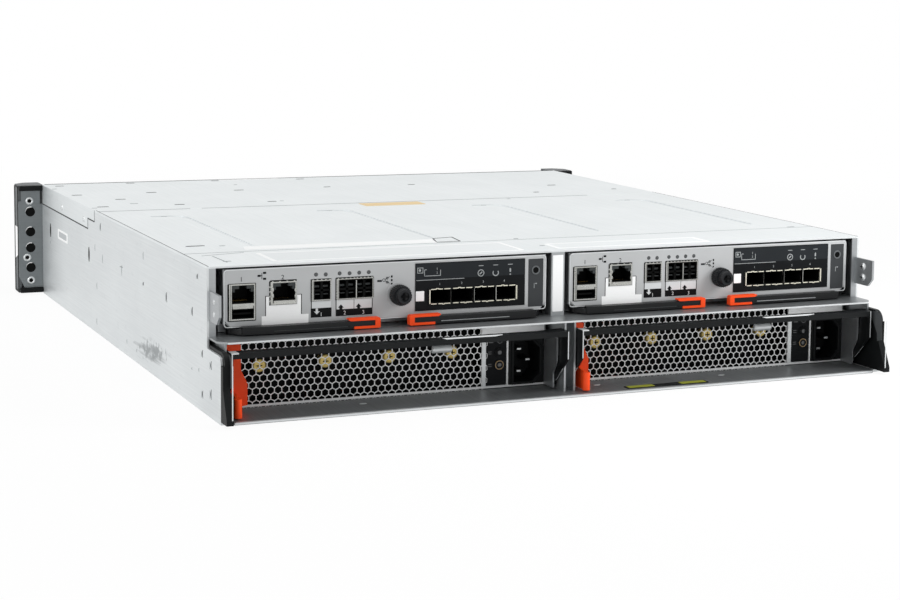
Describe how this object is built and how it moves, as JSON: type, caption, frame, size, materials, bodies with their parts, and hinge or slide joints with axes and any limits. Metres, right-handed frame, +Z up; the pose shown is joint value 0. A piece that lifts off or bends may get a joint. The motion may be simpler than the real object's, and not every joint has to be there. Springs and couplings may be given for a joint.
{
  "type": "storage controller enclosure",
  "caption": "Rack storage enclosure with controller canisters above power supplies at the rear, drive carriers at the front, ejector levers, bail handles and release latches.",
  "frame": {"origin": "under the middle of the enclosure's whole bounding box, at the underside", "axes": "+X to the right seen from the rear, +Y from the connector side to the drive side, +Z up"},
  "size_m": [0.483, 0.556, 0.087],
  "materials": {
    "galvanised_sheet": "pale zinc-plated steel sheet, satin",
    "cover_sheet": "pale zinc-plated steel sheet, satin",
    "face_paint": "light grey paint, satin",
    "black_steel": "black paint, satin",
    "handle_steel": "plated steel, satin",
    "black_moulding": "black moulded plastic, matt",
    "grey_moulding": "mid-grey moulded plastic, satin",
    "orange_moulding": "orange-red moulded plastic, satin",
    "connector_shell": "nickel-plated shell, bright",
    "circuit_board": "green solder mask, satin",
    "bright_screws": "bright plated steel",
    "brass_screws": "yellow passivated standoffs",
    "carrier_alloy": "dark coated alloy, satin"
  },
  "bodies": {
    "chassis": {"base_tray": "galvanised_sheet", "front_cover": "cover_sheet", "rear_cover": "cover_sheet", "mid_shelf": "galvanised_sheet", "centre_divider": "galvanised_sheet", "midplane": "circuit_board", "drive_cage": "galvanised_sheet", "rack_ears": "galvanised_sheet", "end_caps": "grey_moulding", "psu_guards": "black_moulding", "rear_brackets": "galvanised_sheet", "chassis_screws": "bright_screws"},
    "left_canister": {"left_canister_case": "galvanised_sheet", "left_canister_face": "face_paint", "left_canister_board": "circuit_board", "left_canister_ports": "connector_shell", "left_canister_host_panel": "black_moulding", "left_canister_host_cage": "connector_shell"},
    "left_thumbscrew": {"left_canister_thumbscrew": "bright_screws"},
    "left_canister_left_lever": {"left_canister_left_lever": "black_steel", "left_canister_left_lever_tip": "orange_moulding"},
    "left_canister_right_lever": {"left_canister_right_lever": "black_steel", "left_canister_right_lever_tip": "orange_moulding"},
    "right_canister": {"right_canister_case": "galvanised_sheet", "right_canister_face": "face_paint", "right_canister_board": "circuit_board", "right_canister_ports": "connector_shell", "right_canister_host_panel": "black_moulding", "right_canister_host_cage": "connector_shell"},
    "right_thumbscrew": {"right_canister_thumbscrew": "bright_screws"},
    "right_canister_left_lever": {"right_canister_left_lever": "black_steel", "right_canister_left_lever_tip": "orange_moulding"},
    "right_canister_right_lever": {"right_canister_right_lever": "black_steel", "right_canister_right_lever_tip": "orange_moulding"},
    "left_psu": {"left_psu_case": "galvanised_sheet", "left_psu_face": "galvanised_sheet", "left_psu_screws": "brass_screws", "left_psu_lamp_panel": "black_moulding", "left_psu_inlet": "black_moulding"},
    "left_handle": {"left_psu_handle": "handle_steel"},
    "left_latch": {"left_psu_latch": "orange_moulding"},
    "right_psu": {"right_psu_case": "galvanised_sheet", "right_psu_face": "galvanised_sheet", "right_psu_screws": "brass_screws", "right_psu_lamp_panel": "black_moulding", "right_psu_inlet": "black_moulding"},
    "right_handle": {"right_psu_handle": "handle_steel"},
    "right_latch": {"right_psu_latch": "orange_moulding"},
    "drive_carrier_1_1_body": {"drive_carrier_1_1": "carrier_alloy"},
    "drive_carrier_1_2_body": {"drive_carrier_1_2": "carrier_alloy"},
    "drive_carrier_1_3_body": {"drive_carrier_1_3": "carrier_alloy"},
    "drive_carrier_2_1_body": {"drive_carrier_2_1": "carrier_alloy"},
    "drive_carrier_2_2_body": {"drive_carrier_2_2": "carrier_alloy"},
    "drive_carrier_2_3_body": {"drive_carrier_2_3": "carrier_alloy"},
    "drive_carrier_3_1_body": {"drive_carrier_3_1": "carrier_alloy"},
    "drive_carrier_3_2_body": {"drive_carrier_3_2": "carrier_alloy"},
    "drive_carrier_3_3_body": {"drive_carrier_3_3": "carrier_alloy"},
    "drive_carrier_4_1_body": {"drive_carrier_4_1": "carrier_alloy"},
    "drive_carrier_4_2_body": {"drive_carrier_4_2": "carrier_alloy"},
    "drive_carrier_4_3_body": {"drive_carrier_4_3": "carrier_alloy"}
  },
  "joints": [
    {"name": "left_canister_slide", "type": "slide", "parent": "chassis", "child": "left_canister", "axis": [0, -1, 0], "range_m": [0, 0.27]},
    {"name": "left_thumbscrew_turn", "type": "hinge", "parent": "left_canister", "child": "left_thumbscrew", "pos_m": [-0.1058, -0.237, 0.0648], "axis": [0, -1, 0], "range_deg": [0, 1440]},
    {"name": "left_canister_left_lever_turn", "type": "hinge", "parent": "left_canister", "child": "left_canister_left_lever", "pos_m": [-0.2063, -0.232, 0.0469], "axis": [0, 0, -1], "range_deg": [0, 70]},
    {"name": "left_canister_right_lever_turn", "type": "hinge", "parent": "left_canister", "child": "left_canister_right_lever", "pos_m": [-0.015, -0.232, 0.0469], "axis": [0, 0, 1], "range_deg": [0, 70]},
    {"name": "right_canister_slide", "type": "slide", "parent": "chassis", "child": "right_canister", "axis": [0, -1, 0], "range_m": [0, 0.27]},
    {"name": "right_thumbscrew_turn", "type": "hinge", "parent": "right_canister", "child": "right_thumbscrew", "pos_m": [0.1155, -0.237, 0.0648], "axis": [0, -1, 0], "range_deg": [0, 1440]},
    {"name": "right_canister_left_lever_turn", "type": "hinge", "parent": "right_canister", "child": "right_canister_left_lever", "pos_m": [0.015, -0.232, 0.0469], "axis": [0, 0, -1], "range_deg": [0, 70]},
    {"name": "right_canister_right_lever_turn", "type": "hinge", "parent": "right_canister", "child": "right_canister_right_lever", "pos_m": [0.2063, -0.232, 0.0469], "axis": [0, 0, 1], "range_deg": [0, 70]},
    {"name": "left_psu_slide", "type": "slide", "parent": "chassis", "child": "left_psu", "axis": [0, -1, 0], "range_m": [0, 0.26]},
    {"name": "left_handle_turn", "type": "hinge", "parent": "left_psu", "child": "left_handle", "pos_m": [-0.2148, -0.2425, 0.0074], "axis": [1, 0, 0], "range_deg": [0, 45]},
    {"name": "left_latch_slide", "type": "slide", "parent": "left_psu", "child": "left_latch", "axis": [1, 0, 0], "range_m": [0, 0.003], "stiffness_N_per_m": 300, "springref_m": -0.001},
    {"name": "right_psu_slide", "type": "slide", "parent": "chassis", "child": "right_psu", "axis": [0, -1, 0], "range_m": [0, 0.26]},
    {"name": "right_handle_turn", "type": "hinge", "parent": "right_psu", "child": "right_handle", "pos_m": [0.0061, -0.2425, 0.0074], "axis": [1, 0, 0], "range_deg": [0, 45]},
    {"name": "right_latch_slide", "type": "slide", "parent": "right_psu", "child": "right_latch", "axis": [1, 0, 0], "range_m": [0, 0.003], "stiffness_N_per_m": 300, "springref_m": -0.001},
    {"name": "drive_carrier_1_1_slide", "type": "slide", "parent": "chassis", "child": "drive_carrier_1_1_body", "axis": [0, 1, 0], "range_m": [0, 0.19]},
    {"name": "drive_carrier_1_2_slide", "type": "slide", "parent": "chassis", "child": "drive_carrier_1_2_body", "axis": [0, 1, 0], "range_m": [0, 0.19]},
    {"name": "drive_carrier_1_3_slide", "type": "slide", "parent": "chassis", "child": "drive_carrier_1_3_body", "axis": [0, 1, 0], "range_m": [0, 0.19]},
    {"name": "drive_carrier_2_1_slide", "type": "slide", "parent": "chassis", "child": "drive_carrier_2_1_body", "axis": [0, 1, 0], "range_m": [0, 0.19]},
    {"name": "drive_carrier_2_2_slide", "type": "slide", "parent": "chassis", "child": "drive_carrier_2_2_body", "axis": [0, 1, 0], "range_m": [0, 0.19]},
    {"name": "drive_carrier_2_3_slide", "type": "slide", "parent": "chassis", "child": "drive_carrier_2_3_body", "axis": [0, 1, 0], "range_m": [0, 0.19]},
    {"name": "drive_carrier_3_1_slide", "type": "slide", "parent": "chassis", "child": "drive_carrier_3_1_body", "axis": [0, 1, 0], "range_m": [0, 0.19]},
    {"name": "drive_carrier_3_2_slide", "type": "slide", "parent": "chassis", "child": "drive_carrier_3_2_body", "axis": [0, 1, 0], "range_m": [0, 0.19]},
    {"name": "drive_carrier_3_3_slide", "type": "slide", "parent": "chassis", "child": "drive_carrier_3_3_body", "axis": [0, 1, 0], "range_m": [0, 0.19]},
    {"name": "drive_carrier_4_1_slide", "type": "slide", "parent": "chassis", "child": "drive_carrier_4_1_body", "axis": [0, 1, 0], "range_m": [0, 0.19]},
    {"name": "drive_carrier_4_2_slide", "type": "slide", "parent": "chassis", "child": "drive_carrier_4_2_body", "axis": [0, 1, 0], "range_m": [0, 0.19]},
    {"name": "drive_carrier_4_3_slide", "type": "slide", "parent": "chassis", "child": "drive_carrier_4_3_body", "axis": [0, 1, 0], "range_m": [0, 0.19]}
  ]
}
